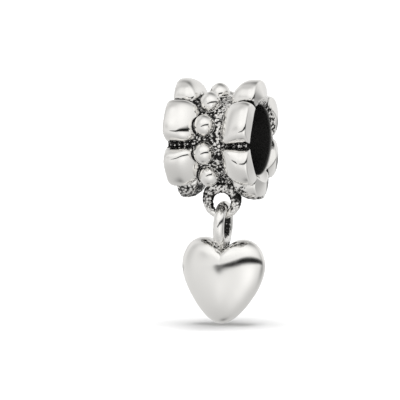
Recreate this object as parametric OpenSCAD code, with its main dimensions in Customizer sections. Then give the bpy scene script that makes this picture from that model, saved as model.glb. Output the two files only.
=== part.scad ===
// Large-hole bead charm with a heart drop, in millimetres.
// The bead is one casting: a bored barrel with a ring of six domed petals round each end, a row of
// small round beads round its middle and a bail loop under it. The heart and its wire ring are
// soldered into one drop, which hangs in the bail loop.
// Frame: the bore runs along X, Z is up, the front of the heart looks along -Y, and the origin is the
// middle of the bore.

/* [Bore and barrel] */

// radius of the bore
bore_r = 2.4; // [1.8:0.05:3]

// radius of the barrel between the petals and under the small beads
barrel_r = 2.95; // [2.6:0.05:3.4]

// radius of the bore's mouth, where the end faces meet the chamfer
mouth_r = 2.85; // [2.5:0.05:3.2]

/* [Petals] */

// radius of a petal's arch across the bore
petal_r = 1.5; // [1.1:0.05:1.9]

// straight stretch inside a petal's arch
petal_run = 0.3; // [0:0.02:1]

// distance from the bore's axis to a petal's axis
petal_orbit = 2.7; // [2.2:0.05:3.2]

// distance from the bead's middle plane to the highest part of a petal
petal_x = 2.42; // [1.8:0.02:3.2]

// radius of the long curve over a petal, from the groove to the ridge
petal_back = 1.3; // [1:0.05:2.4]

// distance from the middle plane to that curve's highest point
petal_top_x = 2.6; // [2:0.02:3.2]

// reach of the petals from the bore's axis
petal_reach = 4.22; // [3.8:0.02:4.8]

// width of the slot between two petals
slot_w = 0.28; // [0.1:0.02:0.6]

// petals in the upper half stand this far apart, those in the lower half fill the rest
petal_angle = 62; // [56:0.5:64]

// the line between the front petals lies this far below the middle
petal_dip = 5; // [-10:0.5:10]

// distance from the middle plane to the ridge between dome and end facet
ridge_x = 2.9; // [2.2:0.02:3.6]

// distance from the middle plane to the end faces at the bore's mouth
end_x = 3.24; // [2.6:0.02:4]

// how far the petals' outer ends are shifted to the right, apart from the petals at the back
petal_shift = 0.12; // [-0.3:0.02:0.3]

/* [Front petals] */

// straight stretch in the left-hand pair, which reaches nearer to the small beads
left_run = 0.6; // [0:0.02:1]

// radius of the long curve over the left-hand pair
left_back = 2.1; // [1:0.05:2.4]

// the same over the right-hand pair
right_back = 1.9; // [1:0.05:2.4]

// distance from the middle plane to that curve's highest point on the right-hand pair
right_top_x = 2.9; // [2:0.02:3.4]

// distance from the middle plane to the outer end of the right-hand pair's arches
right_arch_x = 2.62; // [2.2:0.02:3.4]

// distance from the middle plane to the ridges of the right-hand pair
right_ridge_x = 3.28; // [2.8:0.02:3.8]

// distance from the middle plane to the nearly flat end faces of the right-hand pair
right_end_x = 3.43; // [2.9:0.02:4]

/* [Small beads] */

// places round the middle, one of which the bail loop takes
small_count = 10; // [6:1:14]

// how far the row stands to one side of the middle plane
small_x = -0.1; // [-0.4:0.02:0.4]

// how far round the row is turned
small_turn = 3; // [-8:0.5:8]

// radius of a small bead across the bore's direction
small_r = 0.78; // [0.5:0.02:1]

// half of a small bead's width along the bore
small_half_w = 0.66; // [0.4:0.02:0.9]

// radius of the rounding round a small bead's rim
small_edge = 0.36; // [0.2:0.01:0.4]

// distance from the bore's axis to a small bead's centre
small_orbit = 3.1; // [2.7:0.02:3.6]

/* [Bail loop] */

// outer radius of the loop
bail_r = 1.42; // [1:0.02:1.8]

// thickness of the loop, front to back
bail_t = 0.62; // [0.4:0.02:1]

// how far the loop's lowest point hangs below the barrel's wall
bail_hang = 2.67; // [2.2:0.01:3.2]

// radius of the loop's hole
bail_hole_r = 0.68; // [0.5:0.02:0.9]

// metal below the hole
bail_floor = 0.48; // [0.3:0.02:0.8]

// how far the loop stands to one side of the middle plane
bail_x = 0.12; // [-0.4:0.02:0.4]

/* [Heart drop] */

// wire thickness of the drop's ring
ring_wire = 0.78; // [0.5:0.02:0.9]

// outside diameter of the ring
ring_d = 3.36; // [2.6:0.05:4]

// space between the ring's wire and the bail loop's floor
ring_clearance = 0.04; // [0.03:0.01:0.15]

// width of the heart
heart_w = 5.88; // [4:0.02:8]

// height of the heart, from tip to the tops of the lobes
heart_h = 6.02; // [4:0.02:8]

// thickness of the heart through its middle
heart_t = 2.9; // [1.5:0.05:4]

// how far the ring is soldered to one side of the heart's middle
ring_offset = 0.2; // [-0.5:0.02:0.5]

// gap between the middle of the ring's wire and the bottom of the heart's cleft
cleft_gap = 0.5; // [0.3:0.02:0.8]

// radius of the two solder lumps that fill that gap
solder_r = 0.42; // [0.3:0.02:0.6]

// how far each lump's middle lies in front of or behind the ring's plane of symmetry
solder_y = 0.42; // [0.2:0.02:0.6]

// how far the hanging drop is turned about the vertical
rest_turn = 7; // [-15:0.5:15]

// how far the hanging drop leans to one side
rest_lean = 3; // [-8:0.5:8]

// how far the ring has slid along the bail loop's floor
rest_slide = 0.1; // [-0.2:0.02:0.2]

/* [Hidden] */

over = 0.5;
$fn = 96;

silver = [0.84, 0.84, 0.83];
polished = [0.9, 0.9, 0.89];

small_step = 360 / small_count;

// a small bead's two caps are spheres that run smoothly into the rounding of its rim
small_rim = small_r - small_edge;
cap_r = (small_rim * small_rim + small_half_w * small_half_w - small_edge * small_edge)
    / (2 * (small_half_w - small_edge));
cap_shift = cap_r - small_half_w;
cap_reach = small_rim * cap_r / (cap_r - small_edge);

// the barrel's ends stand at the bottom of the notches between the end facets
neck_r = 2.62;
neck_x = 0.5;
barrel_end = ridge_x;

// places of the six petals round the bore, from the front upwards, 0 being straight up
petal_places = [for (k = [0:5])
    k < 3 ? 90 - (k + 0.5) * petal_angle + petal_dip : 90 + petal_dip + (k - 2.5) * (120 - petal_angle)];

// the petals that stand out furthest
far_x = max(end_x + abs(petal_shift), right_end_x);

// the mouth's chamfer runs at 45 degrees from the bore to the mouth's edge
chamfer_x = end_x - (mouth_r - bore_r);

// lowest point of the loop below the bore's axis
bail_drop = barrel_r + bail_hang;
bail_z = bail_r - bail_drop;
bail_hole_z = bail_floor + bail_hole_r - bail_drop;
bail_edge = bail_t / 2;

ring_r = (ring_d - ring_wire) / 2;
ring_top_z = bail_floor - bail_drop + ring_clearance + ring_wire;
ring_z = ring_top_z - ring_d / 2;
hang_z = bail_floor / 2 - bail_drop;

// The heart's outline about its belly: angle from straight up, and radius as a share of half the
// width. The other half mirrors it.
OUT_ANGLE = 0;
OUT_SHARE = 1;
outline = [
    [0, 0.333],
    [8, 0.395],
    [18, 0.537],
    [28, 0.687],
    [37, 0.786],
    [48, 0.884],
    [60, 0.952],
    [72, 0.98],
    [88, 1],
    [100, 0.997],
    [113, 1.003],
    [127, 1.027],
    [140, 1.078],
    [157, 1.211],
    [168, 1.327],
    [180, 1.408]
];

// how much the crease between the lobes fills up towards the belly, as the same share, and the
// angle that it reaches
crease_share = 0.306;
crease_angle = 48;

around_count = 72;
row_count = 12;

// Slope of the outline's radius at one row of the table
function slope_step(k, n) =
    let (lo = max(k - 1, 0), hi = min(k + 1, n))
    (outline[hi][OUT_SHARE] - outline[lo][OUT_SHARE]) / (outline[hi][OUT_ANGLE] - outline[lo][OUT_ANGLE]);

// Outline radius at an angle: cubic pieces that keep the slope from row to row, level at the tip
function outline_at(angle) =
    let (
        n = len(outline) - 1,
        a = min(max(angle, 0), 180),
        k = min(n - 1, max([for (i = [0:n - 1]) outline[i][OUT_ANGLE] <= a ? i : 0])),
        span = outline[k + 1][OUT_ANGLE] - outline[k][OUT_ANGLE],
        t = (a - outline[k][OUT_ANGLE]) / span,
        m0 = slope_step(k, n) * span,
        m1 = (k + 1 == n ? 0 : slope_step(k + 1, n)) * span,
        p0 = outline[k][OUT_SHARE],
        p1 = outline[k + 1][OUT_SHARE]
    )
    p0 * (2 * t * t * t - 3 * t * t + 1) + m0 * (t * t * t - 2 * t * t + t)
        + p1 * (3 * t * t - 2 * t * t * t) + m1 * (t * t * t - t * t);

function crease_at(angle) =
    angle < crease_angle ? crease_share * (0.5 + 0.5 * cos(180 * angle / crease_angle)) : 0;

// the outline's height as the same share, from the tip to the tops of the lobes
outline_rise = outline_at(180) + max([for (a = [0:2:90]) outline_at(a) * cos(a)]);
share_w = heart_w / 2;
share_h = heart_h / outline_rise;

// the belly's height: under the ring's lowest wire, the gap that the solder fills, and the cleft
heart_z = ring_z - ring_r - cleft_gap - outline_at(0) * share_h;

// One point of the heart: an angle round the outline and a share of the way from belly to rim
function heart_point(turn, share) =
    let (
        a = turn > 180 ? 360 - turn : turn,
        side = turn > 180 ? -1 : 1,
        r = share * (outline_at(a) + (1 - share) * crease_at(a))
    )
    [side * r * sin(a) * share_w, r * cos(a) * share_h];

// share of the way out, and the half thickness there, for a row between the pole and the rim
function row_share(k) = pow(sin(90 * k / row_count), 0.94);
function row_depth(k) = heart_t / 2 * pow(cos(90 * k / row_count), 0.94);

module heart_body() {
    front = [for (k = [1:row_count - 1], i = [0:around_count - 1])
        let (p = heart_point(360 * i / around_count, row_share(k))) [p[0], -row_depth(k), p[1]]];
    rim = [for (i = [0:around_count - 1])
        let (p = heart_point(360 * i / around_count, 1)) [p[0], 0, p[1]]];
    back = [for (k = [row_count - 1:-1:1], i = [0:around_count - 1])
        let (p = heart_point(360 * i / around_count, row_share(k))) [p[0], row_depth(k), p[1]]];
    bands = 2 * row_count - 2;
    last = (bands + 1) * around_count;
    points = concat(front, rim, back, [[0, -heart_t / 2, 0], [0, heart_t / 2, 0]]);
    sides = [for (k = [0:bands - 1], i = [0:around_count - 1], half = [0, 1])
        let (j = (i + 1) % around_count, a = k * around_count + i, b = k * around_count + j)
        half == 0 ? [a, a + around_count, b + around_count] : [a, b + around_count, b]];
    caps = [for (i = [0:around_count - 1], end = [0, 1])
        let (j = (i + 1) % around_count)
        end == 0 ? [last, i, j] : [last + 1, bands * around_count + j, bands * around_count + i]];
    polyhedron(points = points, faces = concat(sides, caps), convexity = 6);
}

// A body of revolution about X, from a profile of [radius, distance along X]
module lathe_x() {
    rotate([0, 90, 0])
        rotate_extrude()
            children();
}

// The arch of one petal about its own axis, from its inner to its outer end. Its end facet is a
// cone through the ridge and the mouth's edge.
module petal_arch(inner_x, outer_x, ridge, end) {
    ridge_r = sqrt(petal_r * petal_r - (ridge - outer_x) * (ridge - outer_x));
    slope = (end - ridge) / (ridge_r - (mouth_r - petal_orbit));
    apex = ridge + slope * ridge_r;
    translate([0, 0, petal_orbit])
        lathe_x()
            intersection() {
                union() {
                    translate([0, outer_x])
                        circle(r = petal_r);
                    translate([0, inner_x])
                        circle(r = petal_r);
                    translate([0, inner_x])
                        square([petal_r, outer_x - inner_x]);
                }
                polygon([[0, apex], [petal_r * 2, apex - slope * petal_r * 2], [petal_r * 2, 0], [0, 0]]);
            }
}

// The long curve over a petal, which slopes down to the groove
module petal_backs(back_r, top_x) {
    lathe_x()
        intersection() {
            union() {
                translate([petal_reach - back_r, top_x])
                    circle(r = back_r);
                translate([0, top_x - back_r])
                    square([petal_reach - back_r, 2 * back_r]);
                translate([0, top_x])
                    square([petal_reach, back_r]);
            }
            translate([0, -petal_reach])
                square([petal_reach, 3 * petal_reach]);
        }
}

// The space of one petal, half a slot's width clear of the lines between it and its neighbours
module petal_space(spread) {
    root = (slot_w / 2) / sin(spread / 2);
    reach = petal_reach + over;
    side = (reach - root) * tan(spread / 2);
    rotate([0, 90, 0])
        linear_extrude(height = far_x + over)
            polygon([[-root, 0], [-reach, -side], [-reach, side]]);
}

// A ring of petals round the right-hand end, or mirrored round the left-hand end. The front pair
// has its own forms, and the back pair isn't shifted.
module petal_ring(right) {
    for (k = [0:5]) {
        front = k % 3 == 0;
        stand = k % 3 == 2 ? 0 : right ? petal_shift : -petal_shift;
        rotate([petal_places[k], 0, 0])
            intersection() {
                petal_space(k < 3 ? petal_angle : 120 - petal_angle);
                if (front && right) {
                    petal_arch(petal_x - petal_run, right_arch_x, right_ridge_x, right_end_x);
                } else {
                    petal_arch(petal_x - (front ? left_run : petal_run), petal_x + stand,
                        ridge_x + stand, end_x + stand);
                }
                petal_backs(front ? (right ? right_back : left_back) : petal_back,
                    front && right ? right_top_x : petal_top_x);
            }
    }
}

// The barrel, stepped down at its ends, where it closes the slots between the petals
module barrel() {
    lathe_x()
        polygon([[0, -barrel_end], [neck_r, -barrel_end], [barrel_r, neck_x - barrel_end],
            [barrel_r, barrel_end - neck_x], [neck_r, barrel_end], [0, barrel_end]]);
}

// A small bead: round across the bore, a little narrower along it
module small_bead() {
    translate([small_x, 0, small_orbit])
        lathe_x()
            union() {
                intersection() {
                    translate([0, cap_shift])
                        circle(r = cap_r);
                    translate([0, -cap_shift])
                        circle(r = cap_r);
                    translate([0, -small_half_w])
                        square([cap_reach, 2 * small_half_w]);
                }
                translate([small_rim, 0])
                    circle(r = small_edge);
            }
}

// The mouth's chamfer, cut out of the right-hand end
module mouth_cut() {
    reach = far_x - chamfer_x + over;
    translate([chamfer_x, 0, 0])
        lathe_x()
            polygon([[0, -over], [bore_r, -over], [bore_r, 0], [bore_r + reach, reach], [0, reach]]);
}

// Body of revolution about Y
module lathe_y() {
    rotate([-90, 0, 0])
        rotate_extrude()
            children();
}

// The bail loop: a round-edged disc whose hole sits below its middle, with rounded lips
module bail() {
    translate([bail_x, 0, 0])
        difference() {
            translate([0, 0, bail_z])
                lathe_y()
                    union() {
                        translate([bail_r - bail_edge, 0])
                            circle(r = bail_edge);
                        translate([0, -bail_edge])
                            square([bail_r - bail_edge, bail_t]);
                    }
            translate([0, 0, bail_hole_z])
                lathe_y()
                    difference() {
                        translate([0, -bail_t])
                            square([bail_hole_r + bail_edge, 2 * bail_t]);
                        translate([bail_hole_r + bail_edge, 0])
                            circle(r = bail_edge);
                    }
        }
}

module bead_casting() {
    color(silver)
        difference() {
            union() {
                barrel();
                petal_ring(true);
                mirror([1, 0, 0])
                    petal_ring(false);
                for (k = [0:small_count - 2])
                    rotate([(k - (small_count - 2) / 2) * small_step - small_turn, 0, 0])
                        small_bead();
                bail();
            }
            rotate([0, 90, 0])
                cylinder(r = bore_r, h = 2 * far_x + 2 * over, center = true);
            mouth_cut();
            mirror([1, 0, 0])
                mouth_cut();
        }
}

// Heart and ring, with the solder that fills the cleft, before the drop is turned and leaned
module drop_upright() {
    translate([0, 0, ring_z])
        lathe_x()
            translate([ring_r, 0])
                circle(r = ring_wire / 2, $fn = 48);
    translate([ring_offset, 0, heart_z])
        heart_body();
    for (side = [-1, 1])
        translate([0, side * solder_y, ring_z - ring_r])
            sphere(r = solder_r, $fn = 48);
}

module heart_drop() {
    color(polished)
        translate([bail_x + rest_slide, 0, hang_z])
            rotate([0, 0, rest_turn])
                rotate([0, rest_lean, 0])
                    translate([0, 0, -hang_z])
                        drop_upright();
}

bead_casting();
heart_drop();
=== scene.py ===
"""Large-hole bead charm with a puffed heart drop, dressed over its fixed frame.

The cast bead and the heart drop are remeshed finely from their solids, then chased by distance
rules: soft ridges, filled solder joints and the rough cast skin down in the recesses.
Lengths inside the rules are millimetres, as on the bench; finished pieces are scaled to metres.
"""

import math

import bmesh
import bpy
import numpy as np
from mathutils import Matrix, Vector, noise


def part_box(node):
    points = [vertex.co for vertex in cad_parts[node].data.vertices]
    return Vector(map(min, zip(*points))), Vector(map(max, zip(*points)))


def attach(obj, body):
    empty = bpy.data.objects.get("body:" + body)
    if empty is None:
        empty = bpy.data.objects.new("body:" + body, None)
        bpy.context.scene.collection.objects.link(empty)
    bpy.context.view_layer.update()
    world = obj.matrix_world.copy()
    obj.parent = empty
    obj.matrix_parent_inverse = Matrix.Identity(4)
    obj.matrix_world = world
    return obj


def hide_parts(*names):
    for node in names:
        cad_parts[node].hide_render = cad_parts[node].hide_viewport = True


MM = 0.001
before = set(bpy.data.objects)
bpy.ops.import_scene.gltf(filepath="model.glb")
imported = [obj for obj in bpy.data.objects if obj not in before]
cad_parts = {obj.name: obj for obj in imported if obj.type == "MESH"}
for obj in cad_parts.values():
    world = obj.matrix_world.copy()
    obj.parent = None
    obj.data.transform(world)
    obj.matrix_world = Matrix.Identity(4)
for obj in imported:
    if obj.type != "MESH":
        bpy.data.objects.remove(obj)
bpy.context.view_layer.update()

# ---------------------------------------------------------------- sizes, in millimetres

# the barrel along X, whose last NECK_X narrows to NECK_R at the bottom of the petals' notches
BORE_R, BARREL_R, MOUTH_R, END_X = 2.4, 2.95, 2.85, 3.24
NECK_R, NECK_X, RIDGE_X = 2.62, 0.5, 2.9
CHAMFER_X = END_X - (MOUTH_R - BORE_R)

# the petals, six round each end: three over the top and three underneath, whose outer ends stand
# PETAL_SHIFT to the right, apart from those at the back and the left-hand one at the top
PETAL_R, PETAL_ORBIT, PETAL_X, PETAL_TOP_X, PETAL_REACH = 1.5, 2.7, 2.42, 2.6, 4.22
PETAL_RUN, PETAL_BACK, PETAL_SHIFT, SLOT_W = 0.3, 1.3, 0.12, 0.28
UPPER_SPREAD, LOWER_SPREAD, PETAL_DIP = 62, 58, 5
PETAL_PLACES = ([90 + PETAL_DIP - (k + 0.5) * UPPER_SPREAD for k in range(3)]
                + [90 + PETAL_DIP + (k + 0.5) * LOWER_SPREAD for k in range(3)])

# the front pairs have forms of their own, and the right-hand two taper to one side
LEFT_RUN, LEFT_BACK = 0.6, 2.1
RIGHT_BACK, RIGHT_TOP_X, RIGHT_ARCH_X, RIGHT_RIDGE_X, RIGHT_END_X = 1.9, 2.9, 2.62, 3.28, 3.43
UPPER_TURN, LOWER_TURN = 0.22, -0.5

# how square-shouldered a petal is, 2 being round
PILLOW, FRONT_PILLOW = 2.1, 3.1

# the row of small beads round the middle, whose tenth place the loop takes
SMALL_PITCH, SMALL_TURN = 36, 3
SMALL_PLACES = [(k - 4) * SMALL_PITCH - SMALL_TURN for k in range(9)]
SMALL_X, SMALL_R, SMALL_HALF_W, SMALL_EDGE, SMALL_ORBIT = -0.1, 0.79, 0.71, 0.38, 3.1
SMALL_RIM = SMALL_R - SMALL_EDGE
CAP_R = (SMALL_RIM ** 2 + SMALL_HALF_W ** 2 - SMALL_EDGE ** 2) / (2 * (SMALL_HALF_W - SMALL_EDGE))
CAP_SHIFT = CAP_R - SMALL_HALF_W

# the bail loop, whose lowest point lies BAIL_DROP below the bore's axis
BAIL_R, BAIL_T, BAIL_DROP, BAIL_HOLE_R, BAIL_FLOOR, BAIL_X = 1.42, 0.62, 5.62, 0.68, 0.48, 0.12
BAIL_HOLE_Z = BAIL_FLOOR + BAIL_HOLE_R - BAIL_DROP

# the drop's ring, before it slides and turns on the loop
RING_WIRE, RING_D, RING_CLEARANCE, RING_OFFSET, RING_SLIDE = 0.78, 3.36, 0.04, 0.2, 0.1
RING_R = (RING_D - RING_WIRE) / 2
RING_Z = BAIL_FLOOR - BAIL_DROP + RING_CLEARANCE + RING_WIRE - RING_D / 2

# where the drop hangs on the loop's floor, and how it is turned and leans there
HANG = Vector((BAIL_X + RING_SLIDE, 0, BAIL_FLOOR / 2 - BAIL_DROP))
HANG_TURN, HANG_LEAN = 7, 3

# the heart, with its outline about its belly: angle from straight up, and radius as a share of
# half the width; the crease between the lobes fills up towards the belly
HEART_W, HEART_H, HEART_T, CLEFT_GAP = 5.88, 6.02, 2.9, 0.5
OUTLINE = [(0, 0.333), (8, 0.395), (18, 0.537), (28, 0.687), (37, 0.786), (48, 0.884),
           (60, 0.952), (72, 0.98), (88, 1), (100, 0.997), (113, 1.003), (127, 1.027),
           (140, 1.078), (157, 1.211), (168, 1.327), (180, 1.408)]
CREASE_SHARE, CREASE_ANGLE = 0.306, 48
PUFF = 2 / 0.94
SOLDER_R, SOLDER_Y = 0.42, 0.42

# fillets where forms meet
FRONT_BLEND, PETAL_BLEND, FLANK_BLEND, FACET_BLEND = 0.3, 0.14, 0.24, 0.09
PETAL_FOOT, SMALL_FOOT, BAIL_FOOT, MOUTH_EDGE = 0.1, 0.04, 0.16, 0.06
RING_FOOT, SOLDER_FOOT = 0.12, 0.16


# ---------------------------------------------------------------- distance rules


def smooth_low(a, b, k):
    """The lower of two distances, with a fillet of about k where they meet."""
    h = np.clip(1 - np.abs(a - b) / k, 0, 1)
    return np.minimum(a, b) - h * h * k / 4


def smooth_high(a, b, k):
    """The higher of two distances, with the same fillet."""
    return -smooth_low(-a, -b, k)


def ease(v, low, high):
    """0 below low, 1 above high, smooth between."""
    t = np.clip((v - low) / (high - low), 0, 1)
    return t * t * (3 - 2 * t)


def turned(y, z, place):
    """A point's place across and along the direction that stands at this angle round the bore."""
    a = math.radians(place)
    return y * math.cos(a) + z * math.sin(a), z * math.cos(a) - y * math.sin(a)


def petal_distance(x, y, z, rho, side, k):
    """One petal of an end: k counts from the front over the top, then from the front underneath."""
    front, rear = k % 3 == 0, k % 3 == 2
    shift = 0 if rear or (k == 1 and side < 0) else side * PETAL_SHIFT
    inner, outer, ridge, end = PETAL_X - PETAL_RUN, PETAL_X + shift, RIDGE_X + shift, END_X + shift
    over_r, top, turn = PETAL_BACK, PETAL_TOP_X, 0
    blend, full = (FRONT_BLEND, FRONT_PILLOW) if front else (PETAL_BLEND, PILLOW)
    if front and side < 0:
        inner, over_r = PETAL_X - LEFT_RUN, LEFT_BACK
    if front and side > 0:
        outer, ridge, end = RIGHT_ARCH_X, RIGHT_RIDGE_X, RIGHT_END_X
        over_r, top = RIGHT_BACK, RIGHT_TOP_X
        turn, full = (UPPER_TURN, FRONT_PILLOW) if k == 0 else (LOWER_TURN, PILLOW)
    ridge_r = math.sqrt(PETAL_R ** 2 - (ridge - outer) ** 2)
    slope = (end - ridge) / (ridge_r - (MOUTH_R - PETAL_ORBIT))
    half = math.radians((UPPER_SPREAD if k < 3 else LOWER_SPREAD) / 2)
    lx = side * x
    ly, lz = turned(y, z, PETAL_PLACES[k])
    across = ly + turn * np.maximum(outer - lx, 0)
    d = (np.abs(across) ** full + np.abs(lz - PETAL_ORBIT) ** full) ** (1 / full)
    arch = np.hypot(d, lx - np.clip(lx, inner, outer)) - PETAL_R
    over = np.hypot(np.maximum(rho - PETAL_REACH + over_r, 0), np.minimum(lx - top, 0)) - over_r
    flank = np.abs(ly) * math.cos(half) - lz * math.sin(half) + SLOT_W / 2
    facet = (lx + slope * (d - ridge_r) - ridge) / math.hypot(1, slope)
    dome = smooth_high(smooth_high(arch, over, blend), flank, FLANK_BLEND)
    return smooth_high(dome, facet, FACET_BLEND)


def small_bead_distance(x, y, z, place):
    """A flattened bead: two shallow caps that run into the rounding of its rim."""
    ly, lz = turned(y, z, place)
    d, h = np.hypot(ly, lz - SMALL_ORBIT), np.abs(x - SMALL_X)
    cap = np.hypot(d, h + CAP_SHIFT) - CAP_R
    rim = np.hypot(d - SMALL_RIM, h) - SMALL_EDGE
    return np.where((h + CAP_SHIFT) * SMALL_RIM < d * CAP_SHIFT, rim, cap)


def bail_distance(x, y, z):
    """The loop: a disc with a round edge, and a hole with round lips."""
    edge = BAIL_T / 2
    out = np.hypot(x - BAIL_X, z - (BAIL_R - BAIL_DROP))
    disc = np.hypot(np.maximum(out - (BAIL_R - edge), 0), y) - edge
    hole = np.hypot(x - BAIL_X, z - BAIL_HOLE_Z)
    lips = np.hypot(np.maximum(BAIL_HOLE_R + edge - hole, 0), y) - edge
    return np.maximum(disc, lips)


def petals_distance(x, y, z, rho):
    """All twelve petals."""
    return np.min([petal_distance(x, y, z, rho, side, k) for side in (1, -1) for k in range(6)],
                  axis=0)


def small_beads_distance(x, y, z):
    """The whole row of small beads."""
    return np.min([small_bead_distance(x, y, z, place) for place in SMALL_PLACES], axis=0)


def bead_distance(p):
    """Signed distance to the cast bead, about."""
    x, y, z = p[:, 0], p[:, 1], p[:, 2]
    rho, along = np.hypot(y, z), np.abs(x)
    taper = BARREL_R - NECK_R
    neck = ((rho - NECK_R) * NECK_X + (along - RIDGE_X) * taper) / math.hypot(NECK_X, taper)
    f = np.maximum(np.maximum(rho - BARREL_R, along - RIDGE_X), neck)
    f = smooth_low(f, petals_distance(x, y, z, rho), PETAL_FOOT)
    f = smooth_low(f, small_beads_distance(x, y, z), SMALL_FOOT)
    f = smooth_low(f, bail_distance(x, y, z), BAIL_FOOT)
    f = smooth_high(f, BORE_R - rho, MOUTH_EDGE)
    return smooth_high(f, (BORE_R + along - CHAMFER_X - rho) / math.sqrt(2), MOUTH_EDGE)


def outline_curve():
    """The heart's outline radius at each half degree, as one smooth curve."""
    a = np.array([row[0] for row in OUTLINE], float)
    r = np.array([row[1] for row in OUTLINE], float)
    slope = np.gradient(r, a)
    slope[1:-1] = (r[2:] - r[:-2]) / (a[2:] - a[:-2])
    slope[-1] = 0
    at = np.arange(0, 180.01, 0.5)
    k = np.clip(np.searchsorted(a, at, side="right") - 1, 0, len(a) - 2)
    span = a[k + 1] - a[k]
    t = (at - a[k]) / span
    v = (r[k] * (2 * t ** 3 - 3 * t ** 2 + 1) + slope[k] * span * (t ** 3 - 2 * t ** 2 + t)
         + r[k + 1] * (3 * t ** 2 - 2 * t ** 3) + slope[k + 1] * span * (t ** 3 - t ** 2))
    reach, spread = 24, 8.0
    past_ends = np.concatenate([2 * v[0] - v[reach:0:-1], v, v[-2:-reach - 2:-1]])
    w = np.exp(-0.5 * (np.arange(-reach, reach + 1) / spread) ** 2)
    return at, np.convolve(past_ends, w / w.sum(), mode="valid")


OUT_AT, OUT_R = outline_curve()
SHARE_W = HEART_W / 2
LOBES = OUT_AT <= 90
SHARE_H = HEART_H / (OUTLINE[-1][1] + max(OUT_R[LOBES] * np.cos(np.radians(OUT_AT[LOBES]))))
HEART_Z = RING_Z - RING_R - CLEFT_GAP - OUTLINE[0][1] * SHARE_H


def unhung(p):
    """Points of the hanging drop, put back upright under the loop."""
    turn = Matrix.Rotation(math.radians(HANG_TURN), 3, "Z")
    turn = turn @ Matrix.Rotation(math.radians(HANG_LEAN), 3, "Y")
    return (p - np.array(HANG)) @ np.array(turn) + np.array((0, 0, HANG.z))


def drop_distance(p):
    """Signed distance to the heart with its soldered ring, about."""
    q = unhung(p)
    x, y, z = q[:, 0], q[:, 1], q[:, 2]
    hx, hz = (x - RING_OFFSET) / SHARE_W, (z - HEART_Z) / SHARE_H
    a = np.degrees(np.arctan2(np.abs(hx), hz))
    r, rim = np.hypot(hx, hz), np.interp(a, OUT_AT, OUT_R)
    crease = CREASE_SHARE * (0.5 + 0.5 * np.cos(np.radians(180 * a / CREASE_ANGLE)))
    fill = np.where(a < CREASE_ANGLE, crease, 0)
    b, least = rim + fill, 1e-4
    in_crease = (b - np.sqrt(np.maximum(b * b - 4 * fill * r, 0))) / (2 * np.maximum(fill, least))
    share = np.where(fill > least, in_crease, r / b)
    g = (share ** PUFF + (np.abs(y) * 2 / HEART_T) ** PUFF) ** (1 / PUFF)
    far = np.sqrt((x - RING_OFFSET) ** 2 + (z - HEART_Z) ** 2 + y * y)
    heart = (1 - 1 / np.maximum(g, 0.2)) * far
    ring = np.hypot(np.hypot(y, z - RING_Z) - RING_R, x) - RING_WIRE / 2
    f = smooth_low(heart, ring, RING_FOOT)
    for side in (-1, 1):
        lump = np.sqrt(x * x + (y - side * SOLDER_Y) ** 2 + (z - RING_Z + RING_R) ** 2) - SOLDER_R
        f = smooth_low(f, lump, SOLDER_FOOT)
    return f


# ---------------------------------------------------------------- chasing a piece

# how far out a point looks for other walls, to tell how deep in a recess it lies
CAVITY_REACHES = (0.22, 0.5, 0.9)

# how much blacker a pit of the cast skin is than the top of a pebble
PIT_BLACK = 0.62


def steepness(rule, p, h=0.004):
    """How a rule rises at each point, along X, Y and Z."""
    g = np.empty_like(p)
    for i in range(3):
        d = np.zeros(3)
        d[i] = h
        g[:, i] = (rule(p + d) - rule(p - d)) / (2 * h)
    return g


def settle(p, rule, rounds, most=0.08):
    """Moves points along the steepest way until they lie on the rule's surface."""
    for _ in range(rounds):
        g = steepness(rule, p)
        step = rule(p) / np.maximum((g * g).sum(1), 0.1)
        p = p - np.clip(step, -most, most)[:, None] * g
    return p


def even_out(p, edges, share=0.5):
    """Moves each point part of the way to the middle of its neighbours."""
    n = len(p)
    count = np.bincount(edges.ravel(), minlength=n)
    middle = np.empty_like(p)
    for i in range(3):
        middle[:, i] = (np.bincount(edges[:, 0], p[edges[:, 1], i], n)
                        + np.bincount(edges[:, 1], p[edges[:, 0], i], n)) / np.maximum(count, 1)
    return p + (middle - p) * share


def fine_skin(solid, name, voxel):
    """A copy of a solid's mesh, merged and remeshed to even small faces, in millimetres."""
    mesh = bpy.data.meshes.new(name)
    bm = bmesh.new()
    bm.from_mesh(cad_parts[solid].data)
    bmesh.ops.transform(bm, matrix=Matrix.Scale(1 / MM, 4), verts=bm.verts)
    bmesh.ops.remove_doubles(bm, verts=bm.verts, dist=0.0005)
    bm.to_mesh(mesh)
    bm.free()
    mesh.materials.clear()
    obj = bpy.data.objects.new(name, mesh)
    bpy.context.scene.collection.objects.link(obj)
    skin = obj.modifiers.new("skin", "REMESH")
    skin.mode = "VOXEL"
    skin.voxel_size = voxel
    depsgraph = bpy.context.evaluated_depsgraph_get()
    done = bpy.data.meshes.new_from_object(obj.evaluated_get(depsgraph))
    obj.modifiers.clear()
    obj.data = done
    bpy.data.meshes.remove(mesh)
    done.name = name
    return obj


def points_of(mesh):
    p = np.empty(len(mesh.vertices) * 3)
    mesh.vertices.foreach_get("co", p)
    return p.reshape(-1, 3)


def edges_of(mesh):
    e = np.empty(len(mesh.edges) * 2, np.int32)
    mesh.edges.foreach_get("vertices", e)
    return e.reshape(-1, 2)


def cavity(p, n, rule):
    """How far a point lies down in a recess: 0 in the open, towards 1 in a deep corner."""
    total = 0
    for reach in CAVITY_REACHES:
        total = total + np.clip(1 - rule(p + n * reach) / reach, 0, 1)
    return total / len(CAVITY_REACHES)


def cast_grain(p, scale, seed):
    """Pebbly height of a cast skin that was never polished, from about -1 to 1."""
    shift = Vector((seed * 7.1, seed * 3.3, seed * 5.7))
    out = np.empty(len(p))
    for i, co in enumerate(p):
        v = Vector(co) * scale + shift
        pebble = noise.voronoi(v)[0][0]
        out[i] = (0.75 - 1.5 * pebble) + 0.6 * noise.noise(v * 1.9) + 0.35 * noise.noise(v * 4.3)
    return out


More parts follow.
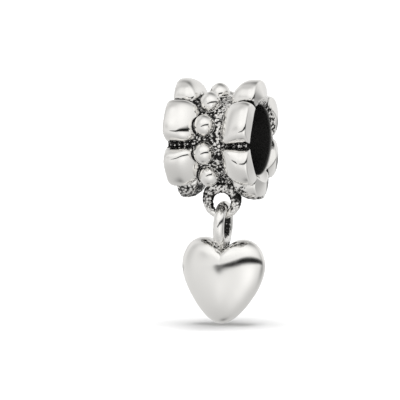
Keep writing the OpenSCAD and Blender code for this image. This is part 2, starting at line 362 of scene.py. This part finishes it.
def keep(mesh, name, values):
    """Stores a number at each point of a mesh, for its material."""
    layer = mesh.attributes.new(name, "FLOAT", "POINT")
    layer.data.foreach_set("value", values.astype(np.float32))


def chase(obj, rule, grain, seed, rounds=3):
    """Settles a remeshed piece on its rule, roughens its recesses and stores how deep they are."""
    mesh = obj.data
    p, edges = points_of(mesh), edges_of(mesh)
    p = settle(p, rule, 2)
    for _ in range(rounds):
        p = settle(even_out(p, edges), rule, 1)
    p = settle(p, rule, 1)
    n = steepness(rule, p)
    n /= np.maximum(np.linalg.norm(n, axis=1), 1e-6)[:, None]
    deep = cavity(p, n, rule)
    reach, mask, scale, shade, sunk = grain(p, deep)
    live = mask > 0.02
    pebble = np.zeros(len(p))
    pebble[live] = cast_grain(p[live], scale, seed)
    p = p + n * (reach * mask * (pebble - sunk))[:, None]
    mesh.vertices.foreach_set("co", (p * MM).ravel())
    mesh.update()
    mesh.polygons.foreach_set("use_smooth", np.ones(len(mesh.polygons), bool))
    keep(mesh, "recess", shade - PIT_BLACK * mask * pebble)
    return p


# ---------------------------------------------------------------- the two pieces

# about how wide the faces are
VOXEL = 0.07
DROP_VOXEL = VOXEL * 0.75

# height of the cast skin's pebbles in millimetres, how many there are to the millimetre, and how
# far the barrel's skin lies under the rule's surface, as a share of that height
CAST_HEIGHT, CAST_SCALE, CAST_SINK = 0.1, 5.2, 0.8
SOLDER_HEIGHT, SOLDER_SCALE = 0.05, 5.5

# how rough each zone of the bead is, where its bare barrel is 1
ROOT_ROUGH, HOLE_ROUGH, MOUTH_ROUGH, UNDER_ROUGH = 0.5, 0.5, 0.8, 0.7

# how much blacker each zone is than its depth alone makes it
BARREL_BLACK, FOOT_BLACK, SEAM_BLACK = 0.4, 0.16, 0.5
ROOT_BLACK, HOLE_BLACK, MOUTH_BLACK, UNDER_BLACK = 0.26, 0.36, 0.3, 0.34

# how black the bore is
BORE_BLACK = 0.96


def bead_grain(p, deep):
    """Where the bead was left as cast: the barrel, the bail's root and hole, the mouth, underneath.

    Each zone is 1 inside and 0 outside, with a soft border between its two limits.
    """
    x, y, z = p[:, 0], p[:, 1], p[:, 2]
    rho, along = np.hypot(y, z), np.abs(x)
    by_bead, by_petal = small_beads_distance(x, y, z), petals_distance(x, y, z, rho)

    # between the two rings of petals: the bare barrel, the feet of the forms that stand on it, and
    # the seam round each small bead
    bare = ease(by_bead, 0, 0.09)
    barrel = (1 - ease(rho, 3.05, 3.3)) * (1 - ease(along, 1.6, 2.2)) * bare
    barrel = barrel * ease(by_petal, 0.01, 0.08)
    foot = barrel * (1 - ease(np.minimum(by_bead, by_petal), 0.05, 0.16))
    seam = ease(by_bead, 0, 0.03) * (1 - ease(by_bead, 0.1, 0.22))
    seam = seam * (1 - ease(by_petal, 0.03, 0.09))
    slot = ease(along, 1.7, 2.2)
    corner = ease(deep, 0.25, 0.55) * (1 - ease(rho, 3.1, 3.4)) * ease(by_petal, -0.03, 0.03) * bare

    # the loop with its hole and its root, the bore's mouth, and the underside
    hole = 1 - ease(np.hypot(x - BAIL_X, z - BAIL_HOLE_Z), 0.64, 0.84)
    loop = ease(-z, 3.7, 4.05)
    root = (1 - ease(-z, 4.5, 5.9)) * loop
    mouth = (1 - ease(rho, 2.62, 2.92)) * ease(along, 2.5, 2.8) * (0.06 + 0.94 * ease(z, -0.4, 0.5))
    under = 0.85 * ease(-z, 2.9, 3.4) * (1 - ease(x, 2.2, 2.75)) * (1 - loop)
    mask = np.maximum.reduce([barrel, corner, ROOT_ROUGH * root, HOLE_ROUGH * hole * loop,
                              MOUTH_ROUGH * mouth, UNDER_ROUGH * under])

    # how black it is: what its depth gives where the buff didn't reach, and more in each zone
    buffed = ease(rho, 2.98 + 0.12 * slot, 3.1 + 0.25 * slot) * (1 - loop)
    shade = deep * (0.12 + 0.88 * bare) * (1 - 0.8 * buffed)
    shade = shade * (1 - 0.5 * barrel) * (1 - 0.55 * loop)
    # the barrel is also made blacker over its lower half, and more at its lowest
    open_side, low, lowest = ease(x, 0.3, 0.62), ease(-z, -0.1, 0.5), ease(-z, 2.5, 2.9)
    shade = shade + (BARREL_BLACK - 0.26 * open_side + 0.1 * low) * barrel
    shade = shade + FOOT_BLACK * foot + SEAM_BLACK * seam
    shade = shade + 0.14 * lowest * barrel
    shade = shade + (ROOT_BLACK + 0.06 * (1 - ease(-z, 4.2, 4.9))) * root
    shade = shade + HOLE_BLACK * hole * loop + MOUTH_BLACK * mouth + UNDER_BLACK * under

    # the tops of the pebbles stay bright, most of all in the slots between the petals
    bright = 0.56 + (0.12 + 0.04 * np.sign(x)) * slot * (1 - mouth)
    shade = np.minimum(shade, 1 - bright * mask)
    return (CAST_HEIGHT, mask * ease(rho, BORE_R + 0.02, BORE_R + 0.15), CAST_SCALE, shade,
            CAST_SINK * barrel)


def drop_grain(p, deep):
    """The solder under the ring, left a little rough and black; the ring's inner side, painted
    darker as shade from the loop and a little rough at the back.
    """
    q = unhung(p)
    x, y, over_solder = q[:, 0], q[:, 1], q[:, 2] - RING_Z + RING_R
    out = np.hypot(y, q[:, 2] - RING_Z)
    solder = 1 - ease(np.hypot(np.where(x > 0, 0.7, 1.3) * x, over_solder), 0.3, 0.65)
    # painted shade: the ring's inner side, where it hangs in the loop's hole, is made darker, the
    # back strand more so
    inside = ease(RING_R - out, 0.12, 0.34) * ease(over_solder, 0.1, 0.5)
    behind = inside * ease(y, 0.2, 0.8)
    mask = np.maximum(solder * np.maximum(ease(deep, 0.06, 0.3), 0.5), 0.35 * behind)
    # the solder's black is its own; the inside and behind terms add painted shade
    shade = 0.4 * deep * solder + 0.04 * solder + 0.3 * inside + 0.35 * behind
    return SOLDER_HEIGHT, mask, SOLDER_SCALE, shade, 0


bead = fine_skin("bead_casting", "cast_bead", VOXEL)
bead_points = chase(bead, bead_distance, bead_grain, 1)
bead_rho = np.hypot(bead_points[:, 1], bead_points[:, 2])
keep(bead.data, "bore", BORE_BLACK * (1 - ease(bead_rho, BORE_R + 0.03, BORE_R + 0.12)))

drop = fine_skin("heart_drop", "heart_and_ring", DROP_VOXEL)
chase(drop, drop_distance, drop_grain, 2)

# ---------------------------------------------------------------- finishes

# black oxide, also standing for painted shade on the heart's ring, and how rough and how metallic
# it is
BLACK, BLACK_ROUGHNESS, BLACK_METALLIC = (0.012, 0.0115, 0.011, 1), 0.42, 0.75

# how fine the patterns are, in noise cells to the metre, and the height of the bumps in metres
MARKS_SCALE, HAZE_SCALE, BLOT_SCALE = 2600, 700, 5200
BUMP_HEIGHT = 0.00006


def shader(name):
    """A new material, with its nodes, its links and its Principled shader."""
    mat = bpy.data.materials.new(name)
    mat.use_nodes = True
    return mat, mat.node_tree.nodes, mat.node_tree.links, mat.node_tree.nodes["Principled BSDF"]


def node(nodes, kind, sockets=None, **settings):
    """A new node with these settings, and with these numbers or colours on its sockets."""
    n = nodes.new(kind)
    for key, value in settings.items():
        setattr(n, key, value)
    for key, value in (sockets or {}).items():
        n.inputs[key].default_value = value
    return n


def node_group(name, inputs, outputs):
    """An empty shader node group with number sockets, and its two ends."""
    g = bpy.data.node_groups.new(name, "ShaderNodeTree")
    for key, value in inputs.items():
        s = g.interface.new_socket(key, in_out="INPUT", socket_type="NodeSocketFloat")
        s.default_value = value
    for key in outputs:
        g.interface.new_socket(key, in_out="OUTPUT", socket_type="NodeSocketFloat")
    return g, g.nodes.new("NodeGroupInput"), g.nodes.new("NodeGroupOutput")


def polish_marks():
    """Faint polishing marks and slow unevenness of hand-buffed silver."""
    g, start, end = node_group("polish_marks", {"Scale": 900.0, "Depth": 1.0}, ("Height", "Haze"))
    nodes, links = g.nodes, g.links
    at = nodes.new("ShaderNodeTexCoord")
    stretch = node(nodes, "ShaderNodeMapping", {"Scale": (0.25, 1.0, 1.0)})
    fine = node(nodes, "ShaderNodeTexNoise", {"Detail": 4})
    slow = node(nodes, "ShaderNodeTexNoise", {"Scale": HAZE_SCALE, "Detail": 3})
    links.new(at.outputs["Object"], stretch.inputs["Vector"])
    links.new(stretch.outputs["Vector"], fine.inputs["Vector"])
    links.new(at.outputs["Object"], slow.inputs["Vector"])
    links.new(start.outputs["Scale"], fine.inputs["Scale"])
    both = node(nodes, "ShaderNodeMath", operation="MULTIPLY")
    links.new(fine.outputs["Fac"], both.inputs[0])
    links.new(start.outputs["Depth"], both.inputs[1])
    links.new(both.outputs[0], end.inputs["Height"])
    links.new(slow.outputs["Fac"], end.inputs["Haze"])
    return g


def patina_and_shade():
    """Black left down in the recesses, broken up by the buff, with its own fine grit; on the
    heart's ring also painted shade.
    """
    g, start, end = node_group(
        "patina_and_shade", {"Recess": 0.0, "From": 0.2, "To": 0.5, "Break": 0.3, "Scale": 4000.0},
        ("Mask", "Grit"))
    nodes, links = g.nodes, g.links
    at = nodes.new("ShaderNodeTexCoord")
    blot = node(nodes, "ShaderNodeTexNoise", {"Detail": 5, "Roughness": 0.65})
    links.new(at.outputs["Object"], blot.inputs["Vector"])
    links.new(start.outputs["Scale"], blot.inputs["Scale"])
    centred = node(nodes, "ShaderNodeMath", {1: 0.5}, operation="SUBTRACT")
    links.new(blot.outputs["Fac"], centred.inputs[0])
    spread = node(nodes, "ShaderNodeMath", operation="MULTIPLY")
    links.new(centred.outputs[0], spread.inputs[0])
    links.new(start.outputs["Break"], spread.inputs[1])
    moved = node(nodes, "ShaderNodeMath", operation="ADD")
    links.new(start.outputs["Recess"], moved.inputs[0])
    links.new(spread.outputs[0], moved.inputs[1])
    ramp = node(nodes, "ShaderNodeMapRange", interpolation_type="SMOOTHSTEP")
    links.new(moved.outputs[0], ramp.inputs["Value"])
    links.new(start.outputs["From"], ramp.inputs["From Min"])
    links.new(start.outputs["To"], ramp.inputs["From Max"])
    links.new(ramp.outputs["Result"], end.inputs["Mask"])
    links.new(blot.outputs["Fac"], end.inputs["Grit"])
    return g


POLISH_MARKS, PATINA_AND_SHADE = polish_marks(), patina_and_shade()


def silver(name, tint, haze, black, marks, with_bore):
    """Polished silver that turns black down in its recesses: oxide, and on the heart's ring also
    painted shade.

    haze is the range of its roughness, black the range of depth over which it turns black.
    """
    mat, nodes, links, bsdf = shader(name)
    recess = node(nodes, "ShaderNodeAttribute", attribute_name="recess")
    # oxide on the bead; on the heart's ring this mask also holds painted shade
    oxide = node(nodes, "ShaderNodeGroup", node_tree=PATINA_AND_SHADE)
    for key, value in (("From", black[0]), ("To", black[1]), ("Break", 0.5), ("Scale", BLOT_SCALE)):
        oxide.inputs[key].default_value = value
    links.new(recess.outputs["Fac"], oxide.inputs["Recess"])
    mask = oxide.outputs["Mask"]
    if with_bore:
        bore = node(nodes, "ShaderNodeAttribute", attribute_name="bore")
        most = node(nodes, "ShaderNodeMath", operation="MAXIMUM")
        links.new(mask, most.inputs[0])
        links.new(bore.outputs["Fac"], most.inputs[1])
        mask = most.outputs[0]
    buff = node(nodes, "ShaderNodeGroup", node_tree=POLISH_MARKS)
    buff.inputs["Scale"].default_value = MARKS_SCALE
    buff.inputs["Depth"].default_value = marks

    colour = node(nodes, "ShaderNodeMix", {"A": (*tint, 1), "B": BLACK}, data_type="RGBA")
    links.new(mask, colour.inputs["Factor"])
    links.new(colour.outputs["Result"], bsdf.inputs["Base Color"])

    gloss = node(nodes, "ShaderNodeMapRange",
                 {"From Min": 0.3, "From Max": 0.7, "To Min": haze[0], "To Max": haze[1]})
    links.new(buff.outputs["Haze"], gloss.inputs["Value"])
    rough = node(nodes, "ShaderNodeMix", {"B": BLACK_ROUGHNESS}, data_type="FLOAT")
    links.new(mask, rough.inputs["Factor"])
    links.new(gloss.outputs["Result"], rough.inputs["A"])
    links.new(rough.outputs["Result"], bsdf.inputs["Roughness"])

    metal = node(nodes, "ShaderNodeMix", {"A": 1.0, "B": BLACK_METALLIC}, data_type="FLOAT")
    links.new(mask, metal.inputs["Factor"])
    links.new(metal.outputs["Result"], bsdf.inputs["Metallic"])

    grit = node(nodes, "ShaderNodeMath", operation="MULTIPLY")
    links.new(oxide.outputs["Grit"], grit.inputs[0])
    links.new(mask, grit.inputs[1])
    height = node(nodes, "ShaderNodeMath", operation="ADD")
    links.new(grit.outputs[0], height.inputs[0])
    links.new(buff.outputs["Height"], height.inputs[1])
    bump = node(nodes, "ShaderNodeBump", {"Strength": 0.6, "Distance": BUMP_HEIGHT})
    links.new(height.outputs[0], bump.inputs["Height"])
    links.new(bump.outputs["Normal"], bsdf.inputs["Normal"])
    return mat


antiqued = silver("antiqued_silver", tint=(0.9, 0.89, 0.87), haze=(0.05, 0.11),
                  black=(0.2, 0.42), marks=0.02, with_bore=True)
# the heart's black includes painted shade on the ring's inner side
polished = silver("polished_silver", tint=(0.92, 0.912, 0.893), haze=(0.09, 0.15),
                  black=(0.3, 0.6), marks=0.01, with_bore=False)
bead.data.materials.append(antiqued)
drop.data.materials.append(polished)

for piece, body, solid, slot in ((bead, "bead", "bead_casting", "antiqued_silver"),
                                 (drop, "drop", "heart_drop", "polished_silver")):
    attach(piece, body)
    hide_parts(solid)

# ---------------------------------------------------------------- floor

FLOOR_HALF, FLOOR_GAP = 1.5, 0.00002
floor_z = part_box("heart_drop")[0].z


def flat_stage(name, half, z):
    """A square sheet that lies level, and isn't part of the charm."""
    bm = bmesh.new()
    bmesh.ops.create_grid(bm, x_segments=1, y_segments=1, size=half)
    bmesh.ops.translate(bm, vec=(0, 0, z), verts=bm.verts)
    mesh = bpy.data.meshes.new(name)
    bm.to_mesh(mesh)
    bm.free()
    obj = bpy.data.objects.new(name, mesh)
    bpy.context.scene.collection.objects.link(obj)
    return obj


def pale_paper():
    """Matt white paper with a faint tooth."""
    mat, nodes, links, bsdf = shader("pale_floor")
    bsdf.inputs["Base Color"].default_value = (0.9, 0.9, 0.9, 1)
    bsdf.inputs["Specular IOR Level"].default_value = 0.0
    where = nodes.new("ShaderNodeTexCoord")
    tooth = node(nodes, "ShaderNodeTexNoise", {"Scale": 300})
    matt = node(nodes, "ShaderNodeMapRange", {"To Min": 0.55, "To Max": 0.7})
    links.new(where.outputs["Object"], tooth.inputs["Vector"])
    links.new(tooth.outputs["Fac"], matt.inputs["Value"])
    links.new(matt.outputs["Result"], bsdf.inputs["Roughness"])
    return mat


floor = flat_stage("pale_floor", FLOOR_HALF, floor_z - FLOOR_GAP)
floor.data.materials.append(pale_paper())
floor.visible_glossy = False

# ---------------------------------------------------------------- light tent

# Directions are in degrees: a bearing round the charm, 0 at the heart's front and 90 at the right,
# and a height above the level.

# the tent's light by height
GLOW = ((-90, 0.24), (-83, 0.36), (-73, 0.6), (-50, 0.64), (-30, 0.72), (-6, 0.84), (10, 0.86),
        (30, 0.92), (60, 0.98), (90, 0.92))
DIMMEST = 0.08

# its brighter and darker patches: bearing, height, width and what each adds
CARDS = ((45, 45, 110, 0.16), (45, -22, 85, 0.32), (-5, -20, 50, 0.12), (-72, 12, 75, -0.2),
         (-45, 66, 60, -0.28), (112, -15, 50, -0.2), (-8, 32, 50, 0.14), (130, 0, 90, -0.4),
         (150, 60, 90, -0.5), (-150, 60, 90, -0.45), (-150, -5, 40, 0.1), (-170, -35, 60, -0.15),
         (148, 12, 50, 0.23), (-70, 38, 58, -0.23), (-28, 17, 42, -0.19), (-22, 57, 34, 0.17),
         (133, 2, 30, 0.08), (-122, 12, 45, -0.13))
CARD_FADE = 2.8

# the dark line where the tent's wall meets its table: height, half width and depth by bearing
LINE_RISE = ((-180, -6), (-60, -10), (-20, -8), (-4, -5), (6, -3), (18, 2), (28, 6.5), (42, 9.5),
             (60, 10.5), (84, 9.5), (104, 7), (140, 0), (180, -6))
LINE_HALF = ((-180, 2.5), (-60, 1.5), (-14, 2), (-6, 3.2), (10, 5.4), (30, 7.4), (60, 8.4), (90, 7),
             (120, 5.5), (180, 2.5))
LINE_DARK = ((-180, 0.7), (-130, 0.6), (-110, 0), (-60, 0), (-15, 0), (-12, 0.4), (-9, 1), (-2, 1),
             (10, 1), (60, 1), (112, 0.95), (128, 0.4), (140, 0), (170, 0), (180, 0.7))
LINE_CORE, LINE_FADE = 0.35, 1.5

# how bright the tent is for matt surfaces, where the camera sees plain white, 1
MATT_LIGHT = 0.45
LAMP_ENERGY, LAMP_ANGLE = 3.0, 35

world = bpy.data.worlds.new("tent")
bpy.context.scene.world = world
world.use_nodes = True
wn, wl = world.node_tree.nodes, world.node_tree.links
wn.clear()


def plug(value, socket):
    """A number is set on the socket, anything else is wired to it."""
    if isinstance(value, (int, float)):
        socket.default_value = value
    else:
        wl.new(value, socket)


def calc(operation, *values):
    """What a Math node makes of these numbers and outputs."""
    n = node(wn, "ShaderNodeMath", operation=operation)
    for k, value in enumerate(values):
        plug(value, n.inputs[k])
    return n.outputs[0]


def curve_of(value, stops, low, high):
    """A curve through (input, output) stops, as a colour ramp between low and high."""
    n = wn.new("ShaderNodeValToRGB")
    n.color_ramp.interpolation = "B_SPLINE"
    first, last = stops[0][0], stops[-1][0]
    while len(n.color_ramp.elements) < len(stops):
        n.color_ramp.elements.new(0.5)
    for element, (at, out) in zip(n.color_ramp.elements, stops):
        element.position = (at - first) / (last - first)
        grey = (out - low) / (high - low)
        element.color = (grey, grey, grey, 1)
    plug(calc("DIVIDE", calc("SUBTRACT", value, first), last - first), n.inputs["Fac"])
    return calc("ADD", calc("MULTIPLY", n.outputs["Color"], high - low), low)


def facing(bearing, height):
    """The direction that stands at this bearing and height."""
    a, e = math.radians(bearing), math.radians(height)
    return (math.sin(a) * math.cos(e), -math.cos(a) * math.cos(e), math.sin(e))


way = wn.new("ShaderNodeTexCoord").outputs["Generated"]
split = wn.new("ShaderNodeSeparateXYZ")
wl.new(way, split.inputs[0])
DEGREES = 180 / math.pi
ahead = calc("MULTIPLY", split.outputs["Y"], -1.0)
way_bearing = calc("MULTIPLY", calc("ARCTAN2", split.outputs["X"], ahead), DEGREES)
way_height = calc("MULTIPLY", calc("ARCSINE", split.outputs["Z"]), DEGREES)


def card(bearing, height, width, amount):
    """A soft light or dark patch of the tent, about width degrees across."""
    dot = node(wn, "ShaderNodeVectorMath", {1: facing(bearing, height)}, operation="DOT_PRODUCT")
    wl.new(way, dot.inputs[0])
    fade = CARD_FADE / (1 - math.cos(math.radians(width / 2)))
    off_centre = calc("MULTIPLY", calc("SUBTRACT", dot.outputs["Value"], 1.0), fade)
    return calc("MULTIPLY", calc("EXPONENT", off_centre), amount)


glow = curve_of(way_height, GLOW, 0, 2)
for patch in CARDS:
    glow = calc("ADD", glow, card(*patch))
glow = calc("MAXIMUM", glow, DIMMEST)

line_rise = curve_of(way_bearing, LINE_RISE, -20, 20)
line_half = curve_of(way_bearing, LINE_HALF, 0, 10)
line_dark = curve_of(way_bearing, LINE_DARK, 0, 1)
near = node(wn, "ShaderNodeMapRange", {"To Min": 1.0, "To Max": 0.0},
            interpolation_type="SMOOTHSTEP")
wl.new(calc("ABSOLUTE", calc("SUBTRACT", way_height, line_rise)), near.inputs["Value"])
wl.new(calc("MULTIPLY", line_half, LINE_CORE), near.inputs["From Min"])
wl.new(calc("MULTIPLY", line_half, LINE_FADE), near.inputs["From Max"])
line = calc("MULTIPLY", near.outputs["Result"], line_dark)
glow = calc("MULTIPLY", glow, calc("SUBTRACT", 1.0, line))

# polished metal sees the tent, the camera and matt surfaces see it as plain white
ray = wn.new("ShaderNodeLightPath")
seen = ray.outputs["Is Camera Ray"]
tent = node(wn, "ShaderNodeBackground", {"Color": (1, 0.995, 0.985, 1)})
plain = node(wn, "ShaderNodeBackground", {"Color": (1, 1, 1, 1)})
wl.new(glow, tent.inputs["Strength"])
plug(calc("ADD", calc("MULTIPLY", seen, 1 - MATT_LIGHT), MATT_LIGHT), plain.inputs["Strength"])
pick, world_out = wn.new("ShaderNodeMixShader"), wn.new("ShaderNodeOutputWorld")
plug(calc("MAXIMUM", seen, ray.outputs["Is Diffuse Ray"]), pick.inputs["Fac"])
wl.new(tent.outputs[0], pick.inputs[1])
wl.new(plain.outputs[0], pick.inputs[2])
wl.new(pick.outputs[0], world_out.inputs["Surface"])

# a broad soft light overhead, which gives the floor its whiteness and the shadow under the tip
lamp = bpy.data.lights.new("overhead", "SUN")
lamp.energy, lamp.angle = LAMP_ENERGY, math.radians(LAMP_ANGLE)
overhead = bpy.data.objects.new("overhead", lamp)
bpy.context.scene.collection.objects.link(overhead)
overhead.visible_glossy = False

# ---------------------------------------------------------------- camera

# the picture's width, the pixel that shows the middle of the bore, and the scale there
PICTURE, BORE_PIXEL, PX_PER_MM = 400, (220.5, 138.5), 14.4
CAM_BEARING, CAM_HEIGHT = 21, 5
LENS, SENSOR = 600, 36

back = Vector(facing(CAM_BEARING, CAM_HEIGHT))
cam_turn = math.radians(CAM_BEARING)
right = Vector((math.cos(cam_turn), math.sin(cam_turn), 0))
up = back.cross(right)

# from the middle of the bore to what the middle of the picture shows
to_right, to_down = ((PICTURE / 2 - pixel) / PX_PER_MM for pixel in BORE_PIXEL)
aim = (right * to_right - up * to_down) * MM
view_w = PICTURE / PX_PER_MM * MM
optics = bpy.data.cameras.new("camera")
optics.lens, optics.sensor_width = LENS, SENSOR
optics.clip_start, optics.clip_end = 0.01, 10
camera = bpy.data.objects.new("camera", optics)
bpy.context.scene.collection.objects.link(camera)
camera.location = aim + back * (view_w * LENS / SENSOR)
camera.rotation_mode = "QUATERNION"
camera.rotation_quaternion = (-back).to_track_quat("-Z", "Y")
bpy.context.scene.camera = camera
bpy.context.scene.view_settings.view_transform = "Standard"
